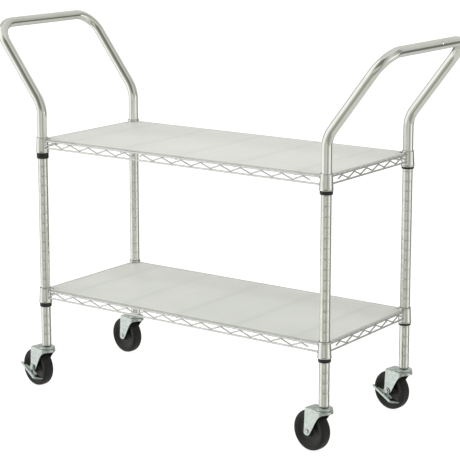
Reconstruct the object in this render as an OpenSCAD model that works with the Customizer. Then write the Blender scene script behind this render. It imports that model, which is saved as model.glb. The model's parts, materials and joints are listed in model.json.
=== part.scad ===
// Two-shelf wire utility cart on swivel casters, with a push handle at each end.
// Millimetres. +X along the cart, +Y across it, +Z up.
// The origin is on the floor, midway between the four posts.

/* [Frame] */
// Distance between the post axes along the cart
post_span_x = 883; // [700:1:1200]
// Distance between the post axes across the cart
post_span_y = 382; // [340:1:580]
// Outside diameter of the posts and the handle tubes
tube_d = 25.4; // [25:0.1:26]
// Wall of the posts and the handle tubes
tube_wall = 1.2; // [1:0.1:2]
// Height of the caster, from the floor to the foot of the post
caster_h = 119; // [117:0.5:125]

/* [Shelves] */
// Height of the lower shelf's collar tops
lower_shelf_z = 279; // [240:1:320]
// Number of locating grooves between the two shelves
shelf_grooves = 16; // [12:1:22]
// Pitch of the locating grooves along a post
groove_pitch = 25.4; // [25:0.1:26]
// Length of a corner collar
collar_h = 40; // [36:1:46]
// Diameter of the top rim wire of a shelf
rim_top_d = 5; // [4:0.1:6]
// Diameter of the bottom rim wire of a shelf
rim_low_d = 4.6; // [4:0.1:6]
// Diameter of the zigzag wire between the rim wires
zigzag_d = 3.6; // [3:0.1:4.4]
// Distance from one peak of the zigzag to the next, along the cart
zigzag_pitch = 60; // [50:1:70]
// Distance from one peak of the zigzag to the next, across the cart
side_zigzag_pitch = 56; // [50:1:70]
// Number of wires in the deck of a shelf
deck_wires = 15; // [11:1:17]
// Number of cross supports under a deck
cross_supports = 5; // [3:1:7]
// Thickness of the liner sheet on a shelf
liner_t = 1.6; // [1:0.1:3]

/* [Handles] */
// Reach of the handle bar beyond the post axes
handle_reach = 156; // [120:1:240]
// Height of the handle bar above the upper collars
handle_rise = 289; // [250:1:360]
// Height of the knee of a handle leg above the upper collars
knee_rise = 84.5; // [60:0.5:110]
// Bend radius at the knee
knee_r = 75; // [50:1:90]
// Bend radius between a leg and the bar
corner_r = 60; // [45:1:80]

/* [Casters] */
// Diameter of the wheels
wheel_d = 101.6; // [90:0.1:101.6]
// Width of the tyres
wheel_w = 30; // [26:0.5:31]
// Distance from the swivel axis back to the axle
trail = 38; // [34:0.5:42]
// Direction in which the wheels trail, from +X
trail_angle = 170; // [0:1:360]
// Upward tilt of a released brake pedal
pedal_tilt = 20; // [15:1:22]

/* [Hidden] */

// colours
CHROME = [0.80, 0.81, 0.79];
TUBE = [0.74, 0.75, 0.71];
ZINC = [0.76, 0.81, 0.79];
STEEL = [0.66, 0.68, 0.68];
SLEEVE = [0.10, 0.10, 0.10];
RUBBER = [0.17, 0.17, 0.16];
CORE = [0.14, 0.14, 0.13];
LINER = [0.84, 0.86, 0.82];

// smoothness of large round parts and of wires
ROUND_FN = 64;
WIRE_FN = 24;
CUT = 1;             // how far a cutting solid runs past a face
RUN_GAP = 0.05;      // radial clearance of a running or push fit
SAFE_GAP = 0.3;      // clearance between pieces that move past each other

// posts
tube_r = tube_d / 2;
tube_in_r = tube_r - tube_wall;
upper_shelf_z = lower_shelf_z + shelf_grooves * groove_pitch;
insert_flange_h = 2;
post_z0 = caster_h + insert_flange_h;
post_top_drop = 14;  // how far the post stops below the upper collar top
post_z1 = upper_shelf_z - post_top_drop;
groove_depth = 0.6;
groove_w = 1.6;
clamp_drop = 26;     // locking groove below the collar top
groove_end = 6;      // plain tube kept at each end of a post
groove_z = lower_shelf_z - clamp_drop;
groove_first = ceil((post_z0 + groove_end - groove_z) / groove_pitch);
groove_last = floor((post_z1 - groove_end - groove_z) / groove_pitch);

// inserts and couplers
insert_h = 26;
stem_r = 6;
coupler_h = 56;

// collars and sleeves
collar_top_d = tube_d + 5.4;
collar_low_d = tube_d + 9.2;
collar_wall = 1.2;
collar_slope = (collar_low_d - collar_top_d) / collar_h;
sleeve_drop = 2.5;   // sleeve top below the collar top
sleeve_step = 0.3;   // the sleeve narrows by this much below the collar
sleeve_edge = 1;     // chamfer at the sleeve's foot
sleeve_slit = 1;
// sleeve showing below each collar, in the order of CORNERS
LOWER_SLEEVE_OUT = [12, 10, 8, 6.5];
UPPER_SLEEVE_OUT = [16, 10, 8, 6];

// shelf wires, measured down from the collar tops
rim_out = 4;         // rim wires stand outside the post axes by this much
rim_top_drop = 9;
rim_low_drop = 27;
weld = 0.4;          // how deep welded wires sink into each other
zigzag_lead = 40;    // first peak from its post
zigzag_tail = 55;    // least distance from the last peak to the other post
zigzag_bend = 5;
stub_run = 20;       // run of the free stub at each end of a zigzag
deck_d = 3;
cross_d = 5;
deck_drop = rim_top_drop - rim_top_d / 2 + deck_d / 2;
cross_drop = deck_drop + deck_d / 2 + cross_d / 2;
liner_notch = 19;    // notch edge from the post axis
liner_drop = rim_top_drop - rim_top_d / 2 - SAFE_GAP - liner_t;

// the zigzag's own centre line
zig_top_drop = rim_top_drop + rim_top_d / 2 + zigzag_d / 2 - weld;
zig_low_drop = rim_low_drop - rim_low_d / 2 - zigzag_d / 2 + weld;
zig_h = zig_low_drop - zig_top_drop;
// how far the sharp corner of the centre line stands above its rounded peak
function bend_over(slope) = zigzag_bend * (1 / cos(slope) - 1);
function leg_slope(half, over) = atan((zig_h + 2 * over) / half);
function zig_slope(half) = leg_slope(half, bend_over(leg_slope(half, bend_over(leg_slope(half, 0)))));

// handles
knee_z = upper_shelf_z + knee_rise;
leg_up = handle_rise - knee_rise;
lean = atan2(handle_reach, leg_up);
leg_len = sqrt(pow(handle_reach, 2) + pow(leg_up, 2));
knee_cut = knee_r * tan(lean / 2);

// a bend is this much thicker than the straights that run lap deep into it
bend_swell = 0.05;
wire_swell = 0.05;
lap = 0.5;
tube_lap = 2;

// casters, with local x to the rear, y outwards along the axle, z up
wheel_r = wheel_d / 2;
tyre_r0 = wheel_r - 13;
shoulder_r = 7;
hub_r = 13;
web_half = wheel_w / 2 - 7;
core_rim = 3;
core_slope = 8;
plate_r = 22;
plate_edge = 2.6;    // thickness of the race plate at its edge
plate_cone = 1.4;    // run and rise of the cone above the edge
crown_r = 23;
crown_edge = 1.5;
rivet_grip = 3.5;    // riveted end of the kingpin under the crown
crown_z0 = caster_h - 15;
crown_z1 = caster_h - 8.2;
plate_z0 = caster_h - 7.8;
ball_z = (crown_z1 + plate_z0) / 2;
ball_r = 2.5;
ball_track_r = 15.5;
ball_count = 14;
kingpin_r = 5.9;
rivet_r = kingpin_r + 3.4;
sheet_t = 2.6;
fork_in = wheel_w / 2 + 2.4;
fork_out = fork_in + sheet_t;
fork_top = crown_z0 + 3;
fold_r = 4.5;
boss_r = 10.5;
leg_back = 9.5;
leg_top_in = 3;      // the top fold starts this far in from the leg's back
gusset_x = -26;      // where the leg's edge starts to curve forward
gusset_y = 26;
gusset_front = -48;  // where it meets the crown
gusset_r = 32;
nose_in = 5;         // the fold stops this far short of the crown's front
nose_h = 3;
axle_r = 4;
sleeve_r = 6;
head_r = 6.2;
head_h = 2.6;
head_dish_r = 3.4;   // shallow dish in the bolt's head
head_dish = 0.8;
nut_af = 13;
nut_h = 6;
nut_tail = 2;
lever_t = 2;
lever_ear_r = boss_r - 1;
ear_flat = 6.5;      // half width of the web where it meets the ear
web_front = 24;      // ends of the web along the tread
web_back = 28;
web_rise = 3;
pedal_drop = 7;      // tread below the axle
pedal_out = 15;      // reach of the tread beyond the web
pedal_back = 46;
pedal_front = 27;
tail_w = 1.5;        // the tread's back end beyond the web
toe_front = 46;
toe_in = 2.4;        // the toe's reach back towards the wheel
toe_chamfer = 4;
lip_h = 5.5;
lip_t = 1.6;
lever_in = fork_out + SAFE_GAP;
lever_out = lever_in + lever_t;

// where the casters stand: name, then the sides of the cart
CORNERS = [
  ["front_left", -1, -1], ["front_right", 1, -1],
  ["rear_left", -1, 1], ["rear_right", 1, 1]
];

// ---- helpers ----

module at_corner(c) {
  translate([c[1] * post_span_x / 2, c[2] * post_span_y / 2, 0]) children();
}

module at_all_corners() {
  for (c = CORNERS) at_corner(c) children();
}

module caster_frame(c) {
  at_corner(c) rotate([0, 0, trail_angle]) children();
}

module axle_frame(c) {
  caster_frame(c) translate([trail, 0, wheel_r]) children();
}

// turns a solid built along z to lie along local y
module along_y() {
  rotate([-90, 0, 0]) children();
}

module ring_2d(swell = 0) {
  difference() {
    circle(r = tube_r + swell);
    circle(r = tube_in_r - swell);
  }
}

// outline of a rounded bar, from x0 to x1 and h tall, rounded at its x1 end
module rounded_end_2d(x0, x1, h, r) {
  translate([x0, -h / 2]) square([x1 - r - x0, h]);
  translate([x0, -h / 2 + r]) square([x1 - x0, h - 2 * r]);
  for (s = [-1, 1])
    translate([x1 - r, s * (h / 2 - r)]) circle(r = r);
}

// ---- posts and handles ----

function post_outline() = concat(
  [[tube_in_r, post_z0], [tube_r, post_z0]],
  [for (k = [groove_first:groove_last])
    let (z = groove_z + k * groove_pitch)
    for (p = [[0, -groove_w / 2 - groove_depth], [groove_depth, -groove_w / 2],
              [groove_depth, groove_w / 2], [0, groove_w / 2 + groove_depth]])
      [tube_r - p[0], z + p[1]]],
  [[tube_r, post_z1], [tube_in_r, post_z1]]
);

module post(c) {
  color(TUBE)
    at_corner(c)
      rotate_extrude($fn = ROUND_FN) polygon(post_outline());
}

// threaded plug in the foot of each post, which takes the caster's stem
module post_inserts() {
  color(STEEL)
    at_all_corners()
      difference() {
        union() {
          translate([0, 0, caster_h])
            cylinder(h = insert_flange_h, r = tube_r, $fn = ROUND_FN);
          translate([0, 0, post_z0])
            cylinder(h = insert_h, r = tube_in_r - RUN_GAP, $fn = ROUND_FN);
        }
        translate([0, 0, caster_h - CUT])
          cylinder(h = insert_h + insert_flange_h + 2 * CUT, r = stem_r + RUN_GAP, $fn = ROUND_FN);
      }
}

// plug that joins a handle leg to the top of its post
module handle_couplers() {
  color(STEEL)
    at_all_corners()
      translate([0, 0, post_z1 - coupler_h / 2])
        cylinder(h = coupler_h, r = tube_in_r - RUN_GAP, $fn = ROUND_FN);
}

// one leg of the right handle with half of the bar, on the +Y side
module handle_half() {
  translate([post_span_x / 2, post_span_y / 2, post_z1])
    linear_extrude(knee_z - knee_cut - post_z1 + tube_lap) ring_2d();
  translate([post_span_x / 2 + knee_r, post_span_y / 2, knee_z - knee_cut])
    rotate([90, 0, 0])
      rotate_extrude(angle = lean, start = 180 - lean) translate([knee_r, 0]) ring_2d(bend_swell);
  translate([post_span_x / 2, 0, knee_z])
    rotate([0, lean, 0]) {
      translate([0, post_span_y / 2, knee_cut - tube_lap])
        linear_extrude(leg_len - knee_cut - corner_r + 2 * tube_lap) ring_2d();
      translate([0, post_span_y / 2 - corner_r, leg_len - corner_r])
        rotate([90, 0, 90])
          rotate_extrude(angle = 90, start = 0) translate([corner_r, 0]) ring_2d(bend_swell);
      translate([0, 0, leg_len])
        along_y() linear_extrude(post_span_y / 2 - corner_r + tube_lap) ring_2d();
    }
}

module handle() {
  union() {
    handle_half($fn = ROUND_FN);
    mirror([0, 1, 0]) handle_half($fn = ROUND_FN);
  }
}

module handle_right() {
  color(CHROME) handle();
}

module handle_left() {
  color(CHROME) mirror([1, 0, 0]) handle();
}

// ---- shelves, placed by the height of their collar tops ----

module collar_cone(top, h, shrink) {
  translate([0, 0, top - h])
    cylinder(h = h, d1 = collar_top_d + collar_slope * h - shrink, d2 = collar_top_d - shrink,
             $fn = ROUND_FN);
}

module collars(top) {
  color(CHROME)
    at_all_corners()
      difference() {
        collar_cone(top, collar_h, 0);
        translate([0, 0, -CUT])
          collar_cone(top, collar_h, 2 * collar_wall);
        translate([0, 0, top - CUT - CUT])
          cylinder(h = 4 * CUT, d = collar_top_d - 2 * collar_wall, $fn = ROUND_FN);
      }
}

// outline of a sleeve that shows out below the collar: a cone inside the collar, a ring below it
function sleeve_outline(out) =
  let (inside = collar_wall + RUN_GAP,
       in_r = tube_r + RUN_GAP,
       top_r = (collar_top_d + collar_slope * sleeve_drop) / 2 - inside,
       low_r = collar_low_d / 2 - inside,
       foot = collar_h + out)
  [[in_r, -foot], [low_r - sleeve_step - sleeve_edge, -foot],
   [low_r - sleeve_step, sleeve_edge - foot], [low_r - sleeve_step, -collar_h],
   [low_r, -collar_h], [top_r, -sleeve_drop], [in_r, -sleeve_drop]];

// split plastic sleeves that the collars wedge against the posts
module sleeves(top, out) {
  color(SLEEVE)
    for (k = [0:3])
      at_corner(CORNERS[k])
        translate([0, 0, top])
          difference() {
            rotate_extrude($fn = ROUND_FN) polygon(sleeve_outline(out[k]));
            translate([-tube_d, -sleeve_slit / 2, -collar_h - out[k] - CUT])
              cube([2 * tube_d, sleeve_slit, collar_h + out[k] + 2 * CUT]);
          }
}

// a straight rim wire between the collars of two posts that stand span apart
module rim_wire(span, side, drop, d) {
  difference() {
    translate([0, side * rim_out, -drop])
      rotate([0, 90, 0]) cylinder(h = span, d = d, $fn = WIRE_FN);
    for (x = [0, span])
      translate([x, 0, 0]) collar_cone(0, collar_h, 0);
  }
}

// depth of the sharp corner at a peak or a valley
function corner_drop(valley, slope) =
  valley ? zig_low_drop + bend_over(slope) : zig_top_drop - bend_over(slope);

// bend of the zigzag round its peak or valley, centred on x
module zig_bend(x, valley, slope) {
  centre = (valley ? 1 : -1) * zigzag_bend / cos(slope);
  translate([x, 0, centre - corner_drop(valley, slope)])
    rotate([90, 0, 0])
      rotate_extrude(angle = 2 * slope, start = (valley ? 270 : 90) - slope, $fn = WIRE_FN)
        translate([zigzag_bend, 0]) circle(d = zigzag_d + 2 * wire_swell);
}

// straight leg from the bend at x towards dir, going down from a peak or up from a valley
module zig_straight(x, valley, dir, len, slope) {
  translate([x, 0, -corner_drop(valley, slope)])
    rotate([0, dir * (valley ? 90 - slope : 90 + slope), 0])
      translate([0, 0, zigzag_bend * tan(slope) - lap])
        cylinder(h = len + lap, d = zigzag_d, $fn = WIRE_FN);
}

// zigzag wire that starts near one post and ends in a free stub near the other
module zigzag(span, side, pitch) {
  last = floor((span - zigzag_lead - zigzag_tail) / pitch);
  half = pitch / 2;
  slope = zig_slope(half);
  cut = zigzag_bend * tan(slope);
  leg = half / cos(slope) - 2 * cut + lap;
  translate([zigzag_lead, side * rim_out, 0]) {
    for (k = [0:last]) zig_bend(k * pitch, false, slope);
    for (k = [0:last - 1]) {
      zig_straight(k * pitch, false, 1, leg, slope);
      zig_bend(k * pitch + half, true, slope);
      zig_straight(k * pitch + half, true, 1, leg, slope);
    }
    zig_straight(0, false, -1, stub_run - cut, slope);
    zig_straight(last * pitch, false, 1, stub_run - cut, slope);
  }
}

// one edge of a shelf, from the origin along +X; side tells which way is outwards
module truss(span, side, pitch) {
  color(CHROME)
    union() {
      rim_wire(span, side, rim_top_drop, rim_top_d);
      rim_wire(span, side, rim_low_drop, rim_low_d);
      zigzag(span, side, pitch);
    }
}

module front_truss(top) {
  translate([-post_span_x / 2, -post_span_y / 2, top]) truss(post_span_x, -1, zigzag_pitch);
}

module rear_truss(top) {
  rotate([0, 0, 180]) front_truss(top);
}

module left_truss(top) {
  translate([-post_span_x / 2, -post_span_y / 2, top])
    rotate([0, 0, 90]) truss(post_span_y, 1, side_zigzag_pitch);
}

module right_truss(top) {
  rotate([0, 0, 180]) left_truss(top);
}

// wires that run along the shelf and carry the load
module deck(top) {
  half = post_span_x / 2 + rim_out - rim_top_d / 2;
  pitch = post_span_y / (deck_wires + 1);
  color(CHROME)
    for (k = [1:deck_wires])
      translate([-half, -post_span_y / 2 + k * pitch, top - deck_drop])
        rotate([0, 90, 0]) cylinder(h = 2 * half, d = deck_d, $fn = WIRE_FN);
}

// wires that run across the shelf under the deck
module crosses(top) {
  half = post_span_y / 2 + rim_out - rim_top_d / 2;
  color(CHROME)
    for (k = [0.5:1:cross_supports])
      translate([post_span_x * (k / cross_supports - 0.5), -half, top - cross_drop])
        along_y() cylinder(h = 2 * half, d = cross_d, $fn = WIRE_FN);
}

// loose sheet on the deck, notched at the corners to clear the collars
module liner(top) {
  x = post_span_x / 2 + rim_out;
  y = post_span_y / 2 + rim_out;
  color(LINER)
    translate([0, 0, top - liner_drop - liner_t])
      difference() {
        translate([-x, -y, 0]) cube([2 * x, 2 * y, liner_t]);
        at_all_corners()
          translate([-liner_notch, -liner_notch, -CUT])
            cube([2 * liner_notch, 2 * liner_notch, liner_t + 2 * CUT]);
      }
}

// ---- casters ----

// stem, upper race and kingpin, riveted under the fork's crown
module caster_stem(c) {
  color(ZINC)
    caster_frame(c)
      difference() {
        union() {
          translate([0, 0, caster_h - CUT])
            cylinder(h = insert_h + CUT, r = stem_r, $fn = ROUND_FN);
          rotate_extrude($fn = ROUND_FN)
            polygon([
              [0, plate_z0], [plate_r - 1, plate_z0], [plate_r, plate_z0 + 1],
              [plate_r, plate_z0 + plate_edge],
              [plate_r - plate_cone, plate_z0 + plate_edge + plate_cone],
              [tube_r + 1, caster_h - 2], [tube_r - 1, caster_h], [0, caster_h]
            ]);
          translate([0, 0, crown_z0 - CUT])
            cylinder(h = plate_z0 - crown_z0 + 2 * CUT, r = kingpin_r, $fn = ROUND_FN);
          translate([0, 0, crown_z0 - SAFE_GAP - rivet_grip])
            cylinder(h = rivet_grip, r1 = (kingpin_r + rivet_r) / 2, r2 = rivet_r, $fn = ROUND_FN);
        }
        translate([0, 0, ball_z])
          rotate_extrude($fn = ROUND_FN)
            translate([ball_track_r, 0]) circle(r = ball_r + SAFE_GAP, $fn = WIRE_FN);
      }
}

module caster_balls(c) {
  color(STEEL)
    caster_frame(c)
      for (k = [0:ball_count - 1])
        rotate([0, 0, k * 360 / ball_count])
          translate([ball_track_r, 0, ball_z]) sphere(r = ball_r, $fn = WIRE_FN);
}

// side view of the fork, measured from the axle: x to the rear, y up
module fork_side_2d() {
  top = fork_top - wheel_r;
  front = trail + crown_r - nose_in;
  hip = [boss_r * cos(205), boss_r * sin(205)];
  heel = [boss_r * cos(8), boss_r * sin(-8)];
  difference() {
    union() {
      circle(r = boss_r);
      polygon([
        [leg_back - leg_top_in, top], heel, [0, -boss_r / 2], hip, [gusset_x, gusset_y],
        [gusset_front, top - 2 * nose_h], [-front, top - nose_h], [-front, top]
      ]);
    }
    translate([gusset_x - gusset_r, crown_z0 - wheel_r - gusset_r - 2]) circle(r = gusset_r);
  }
}

// end view of the folded sheet, measured from the axle: x across, y up
module fork_end_2d() {
  top = fork_top - wheel_r;
  h = top + 2 * boss_r;
  difference() {
    union() {
      translate([-fork_out, -2 * boss_r]) square([2 * fork_out, h - fold_r]);
      translate([-fork_out + fold_r, -2 * boss_r]) square([2 * (fork_out - fold_r), h]);
      for (s = [-1, 1])
        translate([s * (fork_out - fold_r), top - fold_r]) circle(r = fold_r);
    }
    translate([-fork_in, -2 * boss_r - CUT])
      square([2 * fork_in, h + CUT - sheet_t - (fold_r - sheet_t)]);
    translate([-fork_in + fold_r - sheet_t, -2 * boss_r - CUT])
      square([2 * (fork_in - fold_r + sheet_t), h + CUT - sheet_t]);
    for (s = [-1, 1])
      translate([s * (fork_out - fold_r), top - fold_r]) circle(r = fold_r - sheet_t);
  }
}

module caster_fork(c) {
  color(ZINC)
    caster_frame(c)
      difference() {
        union() {
          translate([trail, 0, wheel_r])
            intersection() {
              translate([0, fork_out, 0])
                rotate([90, 0, 0]) linear_extrude(2 * fork_out) fork_side_2d($fn = ROUND_FN);
              translate([-2 * crown_r - trail, 0, 0])
                rotate([90, 0, 90]) linear_extrude(4 * crown_r + 2 * trail)
                  fork_end_2d($fn = ROUND_FN);
            }
          rotate_extrude($fn = ROUND_FN)
            polygon([
              [kingpin_r, crown_z0], [crown_r - crown_edge, crown_z0],
              [crown_r, crown_z0 + crown_edge], [crown_r, crown_z1 - 1], [crown_r - 1, crown_z1],
              [kingpin_r, crown_z1]
            ]);
        }
        translate([0, 0, crown_z0 - 2 * CUT])
          cylinder(h = crown_z1 - crown_z0 + 4 * CUT, r = kingpin_r + 2 * RUN_GAP, $fn = ROUND_FN);
        translate([0, 0, ball_z])
          rotate_extrude($fn = ROUND_FN)
            translate([ball_track_r, 0]) circle(r = ball_r + RUN_GAP, $fn = WIRE_FN);
        translate([trail, -2 * fork_out, wheel_r])
          along_y() cylinder(h = 4 * fork_out, r = axle_r + RUN_GAP, $fn = ROUND_FN);
      }
}

// bolt from the outer side; its head sits outside the brake lever where there is one
module axle_bolt(c, seat) {
  color(STEEL)
    axle_frame(c) {
      translate([0, -fork_out - nut_h - nut_tail, 0])
        along_y() cylinder(h = fork_out + nut_h + nut_tail + seat + head_h / 2, r = axle_r,
                           $fn = ROUND_FN);
      translate([0, seat, 0])
        along_y()
          rotate_extrude($fn = ROUND_FN)
            polygon([
              [0, 0], [head_r, 0], [head_r, head_h - 1], [head_r - 1, head_h],
              [head_dish_r, head_h], [head_dish_r - head_dish, head_h - head_dish],
              [0, head_h - head_dish]
            ]);
    }
}

module axle_nut(c) {
  color(ZINC)
    axle_frame(c)
      translate([0, -fork_out - nut_h, 0])
        along_y()
          difference() {
            cylinder(h = nut_h, r = nut_af / 2 / cos(30), $fn = 6);
            translate([0, 0, -CUT])
              cylinder(h = nut_h + 2 * CUT, r = axle_r + RUN_GAP, $fn = ROUND_FN);
          }
}

// spacer tube between the fork's legs, on which the wheel turns
module axle_sleeve(c) {
  color(STEEL)
    axle_frame(c)
      translate([0, -fork_in, 0])
        along_y()
          difference() {
            cylinder(h = 2 * fork_in, r = sleeve_r, $fn = ROUND_FN);
            translate([0, 0, -CUT])
              cylinder(h = 2 * fork_in + 2 * CUT, r = axle_r + RUN_GAP, $fn = ROUND_FN);
          }
}

// dished disc with a hub, which the tyre is moulded round
module wheel_core(c) {
  hub_half = fork_in - 2 * SAFE_GAP;
  face_half = wheel_w / 2 - 1;
  half_outline = [
    [tyre_r0, 0], [tyre_r0, face_half], [tyre_r0 - core_rim, face_half],
    [tyre_r0 - core_rim - core_slope, web_half], [hub_r + core_rim, web_half],
    [hub_r, hub_half - 1], [hub_r - 1, hub_half], [sleeve_r + RUN_GAP, hub_half]
  ];
  mirrored = [for (k = [len(half_outline) - 1:-1:1]) [half_outline[k][0], -half_outline[k][1]]];
  color(CORE)
    axle_frame(c)
      along_y()
        rotate_extrude($fn = ROUND_FN) polygon(concat(half_outline, mirrored));
}

module tyre(c) {
  color(RUBBER)
    axle_frame(c)
      along_y()
        rotate_extrude($fn = ROUND_FN)
          rounded_end_2d(tyre_r0, wheel_r, wheel_w, shoulder_r, $fn = 48);
}

// rocking pedal on the axle: a web beside the fork's leg, a tread plate and a turned-down lip
module brake_lever(c) {
  color(ZINC)
    axle_frame(c)
      rotate([0, -pedal_tilt, 0])
        difference() {
          union() {
            translate([0, lever_out, 0])
              rotate([90, 0, 0]) linear_extrude(lever_t) lever_web_2d();
            translate([0, 0, -pedal_drop - lever_t]) linear_extrude(lever_t) tread_2d();
            translate([0, 0, -pedal_drop - lip_h]) linear_extrude(lip_h - lever_t / 2) lip_2d();
          }
          along_y() cylinder(h = 4 * fork_out, r = axle_r + 2 * RUN_GAP, $fn = ROUND_FN);
        }
}

// side view of the web: an ear round the axle that widens into the tread
module lever_web_2d() {
  circle(r = lever_ear_r, $fn = ROUND_FN);
  polygon([
    [-web_front, -pedal_drop - lever_t / 2], [web_back, -pedal_drop - lever_t / 2],
    [web_back - 2, -pedal_drop + web_rise], [ear_flat, ear_flat - 1.5], [-ear_flat, ear_flat - 1.5],
    [2 - web_front, -pedal_drop + web_rise]
  ]);
}

// plan of the tread: narrow at the back, wide at the front, with a toe turned back to the wheel
module tread_2d() {
  polygon([
    [pedal_back, lever_in], [pedal_back, lever_out + tail_w],
    [-pedal_front, lever_out + pedal_out], [-pedal_front - toe_chamfer, lever_out + pedal_out - 1],
    [-toe_front, lever_in - 1], [toe_chamfer - 1 - toe_front, lever_in - toe_in],
    [-pedal_front, lever_in]
  ]);
}

// strip along the outer edge of the tread
module lip_2d() {
  polygon([
    [pedal_back, lever_out + tail_w], [-pedal_front, lever_out + pedal_out],
    [-pedal_front, lever_out + pedal_out - lip_t], [pedal_back, lever_out + tail_w - lip_t]
  ]);
}

// ---- nodes ----

lz = lower_shelf_z;
uz = upper_shelf_z;
fl = CORNERS[0];
fr = CORNERS[1];
rl = CORNERS[2];
rr = CORNERS[3];
plain_seat = fork_out;
brake_seat = lever_out + SAFE_GAP;

post(fl);  // post_front_left
post(fr);  // post_front_right
post(rl);  // post_rear_left
post(rr);  // post_rear_right
post_inserts();
handle_left();
handle_right();
handle_couplers();
collars(lz);  // lower_shelf_collars
front_truss(lz);  // lower_shelf_front_truss
rear_truss(lz);  // lower_shelf_rear_truss
left_truss(lz);  // lower_shelf_left_truss
right_truss(lz);  // lower_shelf_right_truss
deck(lz);  // lower_shelf_deck_wires
crosses(lz);  // lower_shelf_cross_supports
sleeves(lz, LOWER_SLEEVE_OUT);  // lower_shelf_sleeves
liner(lz);  // lower_shelf_liner
collars(uz);  // upper_shelf_collars
front_truss(uz);  // upper_shelf_front_truss
rear_truss(uz);  // upper_shelf_rear_truss
left_truss(uz);  // upper_shelf_left_truss
right_truss(uz);  // upper_shelf_right_truss
deck(uz);  // upper_shelf_deck_wires
crosses(uz);  // upper_shelf_cross_supports
sleeves(uz, UPPER_SLEEVE_OUT);  // upper_shelf_sleeves
liner(uz);  // upper_shelf_liner
caster_stem(fl);  // front_left_caster_stem
caster_balls(fl);  // front_left_caster_balls
caster_fork(fl);  // front_left_caster_fork
axle_bolt(fl, brake_seat);  // front_left_axle_bolt
axle_nut(fl);  // front_left_axle_nut
axle_sleeve(fl);  // front_left_axle_sleeve
wheel_core(fl);  // front_left_wheel_core
tyre(fl);  // front_left_tyre
brake_lever(fl);  // front_left_brake_lever
caster_stem(fr);  // front_right_caster_stem
caster_balls(fr);  // front_right_caster_balls
caster_fork(fr);  // front_right_caster_fork
axle_bolt(fr, plain_seat);  // front_right_axle_bolt
axle_nut(fr);  // front_right_axle_nut
axle_sleeve(fr);  // front_right_axle_sleeve
wheel_core(fr);  // front_right_wheel_core
tyre(fr);  // front_right_tyre
caster_stem(rl);  // rear_left_caster_stem
caster_balls(rl);  // rear_left_caster_balls
caster_fork(rl);  // rear_left_caster_fork
axle_bolt(rl, plain_seat);  // rear_left_axle_bolt
axle_nut(rl);  // rear_left_axle_nut
axle_sleeve(rl);  // rear_left_axle_sleeve
wheel_core(rl);  // rear_left_wheel_core
tyre(rl);  // rear_left_tyre
caster_stem(rr);  // rear_right_caster_stem
caster_balls(rr);  // rear_right_caster_balls
caster_fork(rr);  // rear_right_caster_fork
axle_bolt(rr, brake_seat);  // rear_right_axle_bolt
axle_nut(rr);  // rear_right_axle_nut
axle_sleeve(rr);  // rear_right_axle_sleeve
wheel_core(rr);  // rear_right_wheel_core
tyre(rr);  // rear_right_tyre
brake_lever(rr);  // rear_right_brake_lever
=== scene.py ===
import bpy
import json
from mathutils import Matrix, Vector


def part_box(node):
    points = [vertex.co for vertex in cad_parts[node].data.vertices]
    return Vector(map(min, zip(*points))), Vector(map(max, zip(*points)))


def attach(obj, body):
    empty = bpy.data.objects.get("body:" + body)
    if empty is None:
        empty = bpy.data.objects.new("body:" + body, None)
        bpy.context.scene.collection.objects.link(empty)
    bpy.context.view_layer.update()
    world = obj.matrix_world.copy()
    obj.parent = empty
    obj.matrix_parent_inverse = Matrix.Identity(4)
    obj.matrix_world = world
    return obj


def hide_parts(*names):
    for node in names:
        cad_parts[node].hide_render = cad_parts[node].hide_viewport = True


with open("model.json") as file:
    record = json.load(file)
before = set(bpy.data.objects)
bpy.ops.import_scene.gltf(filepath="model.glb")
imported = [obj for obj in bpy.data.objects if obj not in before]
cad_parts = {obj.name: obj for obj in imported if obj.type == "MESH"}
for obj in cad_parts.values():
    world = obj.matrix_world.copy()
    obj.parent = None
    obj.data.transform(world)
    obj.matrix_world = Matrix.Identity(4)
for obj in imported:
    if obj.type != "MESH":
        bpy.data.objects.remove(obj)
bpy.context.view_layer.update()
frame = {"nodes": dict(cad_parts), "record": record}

import json
import math

import bmesh
import bpy
from mathutils import Matrix, Vector, noise

# ---------------------------------------------------------------- sizes, in metres

CORNERS = {"front_left": (-1, -1), "front_right": (1, -1), "rear_left": (-1, 1), "rear_right": (1, 1)}
BRAKED = ("front_left", "rear_right")
UP = Vector((0, 0, 1))

post_lo, post_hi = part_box("post_front_right")
TUBE_R = (post_hi.x - post_lo.x) / 2
POST_X = (post_hi.x + post_lo.x) / 2
POST_Y = -(post_hi.y + post_lo.y) / 2
POST_FOOT = post_lo.z
TUBE_WALL = 0.0012

collar_lo, collar_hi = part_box("lower_shelf_collars")
SHELF_TOP = {shelf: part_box(shelf + "_shelf_collars")[1].z for shelf in ("lower", "upper")}
COLLAR_H = collar_hi.z - collar_lo.z
COLLAR_LOW_R = collar_hi.x - POST_X
COLLAR_TOP_R = COLLAR_LOW_R - 0.0019

# rim wires stand this far outside the post axes; drops are measured down from the shelf's top
RIM_OUT = 0.004
RIM_TOP_R, RIM_LOW_R = 0.0025, 0.0023
RIM_TOP_DROP, RIM_LOW_DROP = 0.009, 0.027
ZIG_LEAD, ZIG_TAIL = 0.040, 0.055
FRONT_PITCH, SIDE_PITCH = 0.060, 0.056
DECK_WIRES, CROSS_SUPPORTS = 15, 5


# ---------------------------------------------------------------- mesh helpers

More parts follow.
